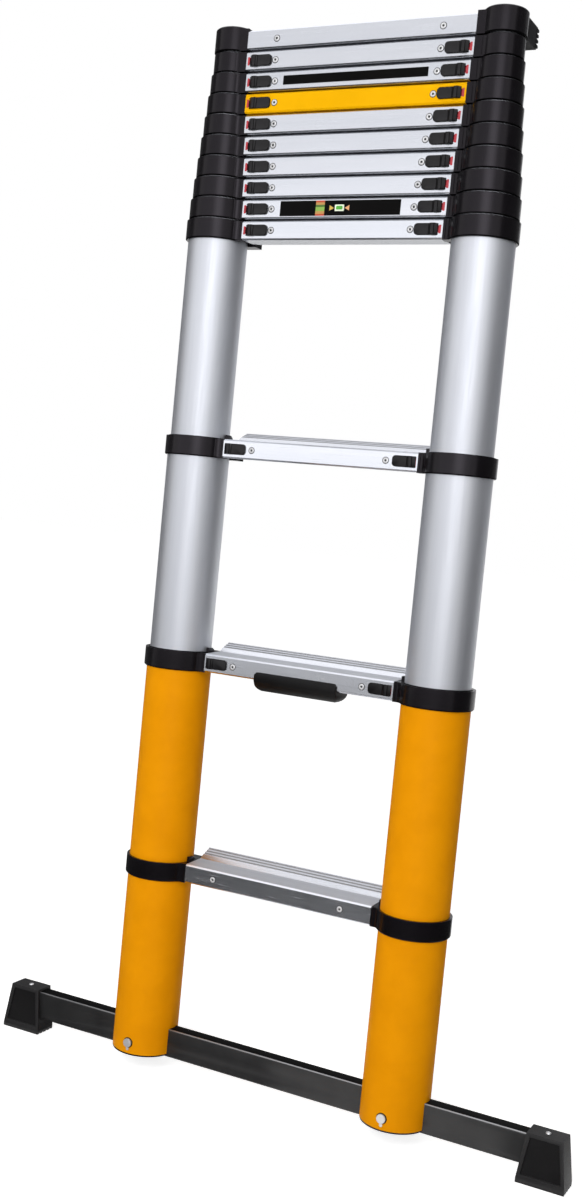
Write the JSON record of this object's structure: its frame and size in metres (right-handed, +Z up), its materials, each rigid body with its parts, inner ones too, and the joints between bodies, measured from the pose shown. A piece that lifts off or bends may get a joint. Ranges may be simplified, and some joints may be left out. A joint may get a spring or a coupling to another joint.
{
  "type": "telescopic ladder",
  "caption": "Telescopic ladder: nested round tubes slide out rung by rung, thumb latches lock them, with a stabiliser bar on rubber feet and ribbed wall buffers.",
  "frame": {"origin": "on the floor, midway between the tubes, in the plane of the tube axes", "axes": "+X along the rungs to the climber's right, +Y to the rear (the wall side), +Z up the tubes"},
  "size_m": [0.852, 0.1003, 1.4443],
  "materials": {
    "yellow_coat": "satin",
    "anodised": "satin",
    "black_moulding": "satin",
    "black_rubber": "matte",
    "dark_coat": "matte",
    "zinc_steel": "satin",
    "latch_plastic": "satin"
  },
  "bodies": {
    "base": {"base_tubes": "yellow_coat", "bottom_rung": "anodised", "bottom_rung_clamps": "black_moulding", "carry_rung": "anodised", "carry_rung_collars": "black_moulding", "carry_handle": "black_rubber", "stabiliser_bar": "dark_coat", "stabiliser_feet": "black_rubber", "base_bolts": "zinc_steel", "tube_end_plugs": "black_moulding"},
    "section_02": {"section_02_tubes": "anodised", "section_02_rung": "anodised", "section_02_collars": "black_moulding"},
    "section_03": {"section_03_tubes": "anodised", "section_03_rung": "anodised", "section_03_collars": "black_moulding"},
    "section_04": {"section_04_frame": "anodised", "section_04_collars": "black_moulding"},
    "section_05": {"section_05_frame": "anodised", "section_05_collars": "black_moulding"},
    "section_06": {"section_06_frame": "anodised", "section_06_collars": "black_moulding"},
    "section_07": {"section_07_frame": "anodised", "section_07_collars": "black_moulding"},
    "section_08": {"section_08_frame": "anodised", "section_08_collars": "black_moulding"},
    "section_09": {"section_09_tubes": "anodised", "section_09_rung": "yellow_coat", "section_09_collars": "black_moulding"},
    "section_10": {"section_10_frame": "anodised", "section_10_collars": "black_moulding"},
    "section_11": {"section_11_frame": "anodised", "section_11_collars": "black_moulding"},
    "section_12": {"section_12_frame": "anodised", "top_caps": "black_moulding", "wall_buffers": "black_rubber"},
    "latch_02_left": {"latch_02_left": "latch_plastic"},
    "latch_02_right": {"latch_02_right": "latch_plastic"},
    "latch_03_left": {"latch_03_left": "latch_plastic"},
    "latch_03_right": {"latch_03_right": "latch_plastic"},
    "latch_04_left": {"latch_04_left": "latch_plastic"},
    "latch_04_right": {"latch_04_right": "latch_plastic"},
    "latch_05_left": {"latch_05_left": "latch_plastic"},
    "latch_05_right": {"latch_05_right": "latch_plastic"},
    "latch_06_left": {"latch_06_left": "latch_plastic"},
    "latch_06_right": {"latch_06_right": "latch_plastic"},
    "latch_07_left": {"latch_07_left": "latch_plastic"},
    "latch_07_right": {"latch_07_right": "latch_plastic"},
    "latch_08_left": {"latch_08_left": "latch_plastic"},
    "latch_08_right": {"latch_08_right": "latch_plastic"},
    "latch_09_left": {"latch_09_left": "latch_plastic"},
    "latch_09_right": {"latch_09_right": "latch_plastic"},
    "latch_10_left": {"latch_10_left": "latch_plastic"},
    "latch_10_right": {"latch_10_right": "latch_plastic"},
    "latch_11_left": {"latch_11_left": "latch_plastic"},
    "latch_11_right": {"latch_11_right": "latch_plastic"},
    "latch_12_left": {"latch_12_left": "latch_plastic"},
    "latch_12_right": {"latch_12_right": "latch_plastic"}
  },
  "joints": [
    {"name": "section_02_slide", "type": "slide", "parent": "base", "child": "section_02", "axis": [0, 0, 1], "range_m": [-0.2649, 0]},
    {"name": "section_03_slide", "type": "slide", "parent": "section_02", "child": "section_03", "axis": [0, 0, 1], "range_m": [-0.2649, 0]},
    {"name": "section_04_slide", "type": "slide", "parent": "section_03", "child": "section_04", "axis": [0, 0, 1], "range_m": [0, 0.2649]},
    {"name": "section_05_slide", "type": "slide", "parent": "section_04", "child": "section_05", "axis": [0, 0, 1], "range_m": [0, 0.2649]},
    {"name": "section_06_slide", "type": "slide", "parent": "section_05", "child": "section_06", "axis": [0, 0, 1], "range_m": [0, 0.2649]},
    {"name": "section_07_slide", "type": "slide", "parent": "section_06", "child": "section_07", "axis": [0, 0, 1], "range_m": [0, 0.2649]},
    {"name": "section_08_slide", "type": "slide", "parent": "section_07", "child": "section_08", "axis": [0, 0, 1], "range_m": [0, 0.2649]},
    {"name": "section_09_slide", "type": "slide", "parent": "section_08", "child": "section_09", "axis": [0, 0, 1], "range_m": [0, 0.2649]},
    {"name": "section_10_slide", "type": "slide", "parent": "section_09", "child": "section_10", "axis": [0, 0, 1], "range_m": [0, 0.2649]},
    {"name": "section_11_slide", "type": "slide", "parent": "section_10", "child": "section_11", "axis": [0, 0, 1], "range_m": [0, 0.2649]},
    {"name": "section_12_slide", "type": "slide", "parent": "section_11", "child": "section_12", "axis": [0, 0, 1], "range_m": [0, 0.2649]},
    {"name": "latch_02_left_slide", "type": "slide", "parent": "base", "child": "latch_02_left", "axis": [1, 0, 0], "range_m": [0, 0.0055], "stiffness_N_per_m": 300},
    {"name": "latch_02_right_slide", "type": "slide", "parent": "base", "child": "latch_02_right", "axis": [-1, 0, 0], "range_m": [0, 0.0055], "stiffness_N_per_m": 300},
    {"name": "latch_03_left_slide", "type": "slide", "parent": "section_02", "child": "latch_03_left", "axis": [1, 0, 0], "range_m": [0, 0.0055], "stiffness_N_per_m": 300},
    {"name": "latch_03_right_slide", "type": "slide", "parent": "section_02", "child": "latch_03_right", "axis": [-1, 0, 0], "range_m": [0, 0.0055], "stiffness_N_per_m": 300},
    {"name": "latch_04_left_slide", "type": "slide", "parent": "section_03", "child": "latch_04_left", "axis": [1, 0, 0], "range_m": [-0.004, 0.0015], "stiffness_N_per_m": 300},
    {"name": "latch_04_right_slide", "type": "slide", "parent": "section_03", "child": "latch_04_right", "axis": [-1, 0, 0], "range_m": [-0.004, 0.0015], "stiffness_N_per_m": 300},
    {"name": "latch_05_left_slide", "type": "slide", "parent": "section_04", "child": "latch_05_left", "axis": [1, 0, 0], "range_m": [-0.004, 0.0015], "stiffness_N_per_m": 300},
    {"name": "latch_05_right_slide", "type": "slide", "parent": "section_04", "child": "latch_05_right", "axis": [-1, 0, 0], "range_m": [-0.004, 0.0015], "stiffness_N_per_m": 300},
    {"name": "latch_06_left_slide", "type": "slide", "parent": "section_05", "child": "latch_06_left", "axis": [1, 0, 0], "range_m": [-0.004, 0.0015], "stiffness_N_per_m": 300},
    {"name": "latch_06_right_slide", "type": "slide", "parent": "section_05", "child": "latch_06_right", "axis": [-1, 0, 0], "range_m": [-0.004, 0.0015], "stiffness_N_per_m": 300},
    {"name": "latch_07_left_slide", "type": "slide", "parent": "section_06", "child": "latch_07_left", "axis": [1, 0, 0], "range_m": [-0.004, 0.0015], "stiffness_N_per_m": 300},
    {"name": "latch_07_right_slide", "type": "slide", "parent": "section_06", "child": "latch_07_right", "axis": [-1, 0, 0], "range_m": [-0.004, 0.0015], "stiffness_N_per_m": 300},
    {"name": "latch_08_left_slide", "type": "slide", "parent": "section_07", "child": "latch_08_left", "axis": [1, 0, 0], "range_m": [-0.004, 0.0015], "stiffness_N_per_m": 300},
    {"name": "latch_08_right_slide", "type": "slide", "parent": "section_07", "child": "latch_08_right", "axis": [-1, 0, 0], "range_m": [-0.004, 0.0015], "stiffness_N_per_m": 300},
    {"name": "latch_09_left_slide", "type": "slide", "parent": "section_08", "child": "latch_09_left", "axis": [1, 0, 0], "range_m": [-0.004, 0.0015], "stiffness_N_per_m": 300},
    {"name": "latch_09_right_slide", "type": "slide", "parent": "section_08", "child": "latch_09_right", "axis": [-1, 0, 0], "range_m": [-0.004, 0.0015], "stiffness_N_per_m": 300},
    {"name": "latch_10_left_slide", "type": "slide", "parent": "section_09", "child": "latch_10_left", "axis": [1, 0, 0], "range_m": [-0.004, 0.0015], "stiffness_N_per_m": 300},
    {"name": "latch_10_right_slide", "type": "slide", "parent": "section_09", "child": "latch_10_right", "axis": [-1, 0, 0], "range_m": [-0.004, 0.0015], "stiffness_N_per_m": 300},
    {"name": "latch_11_left_slide", "type": "slide", "parent": "section_10", "child": "latch_11_left", "axis": [1, 0, 0], "range_m": [-0.004, 0.0015], "stiffness_N_per_m": 300},
    {"name": "latch_11_right_slide", "type": "slide", "parent": "section_10", "child": "latch_11_right", "axis": [-1, 0, 0], "range_m": [-0.004, 0.0015], "stiffness_N_per_m": 300},
    {"name": "latch_12_left_slide", "type": "slide", "parent": "section_11", "child": "latch_12_left", "axis": [1, 0, 0], "range_m": [-0.004, 0.0015], "stiffness_N_per_m": 300},
    {"name": "latch_12_right_slide", "type": "slide", "parent": "section_11", "child": "latch_12_right", "axis": [-1, 0, 0], "range_m": [-0.004, 0.0015], "stiffness_N_per_m": 300}
  ]
}
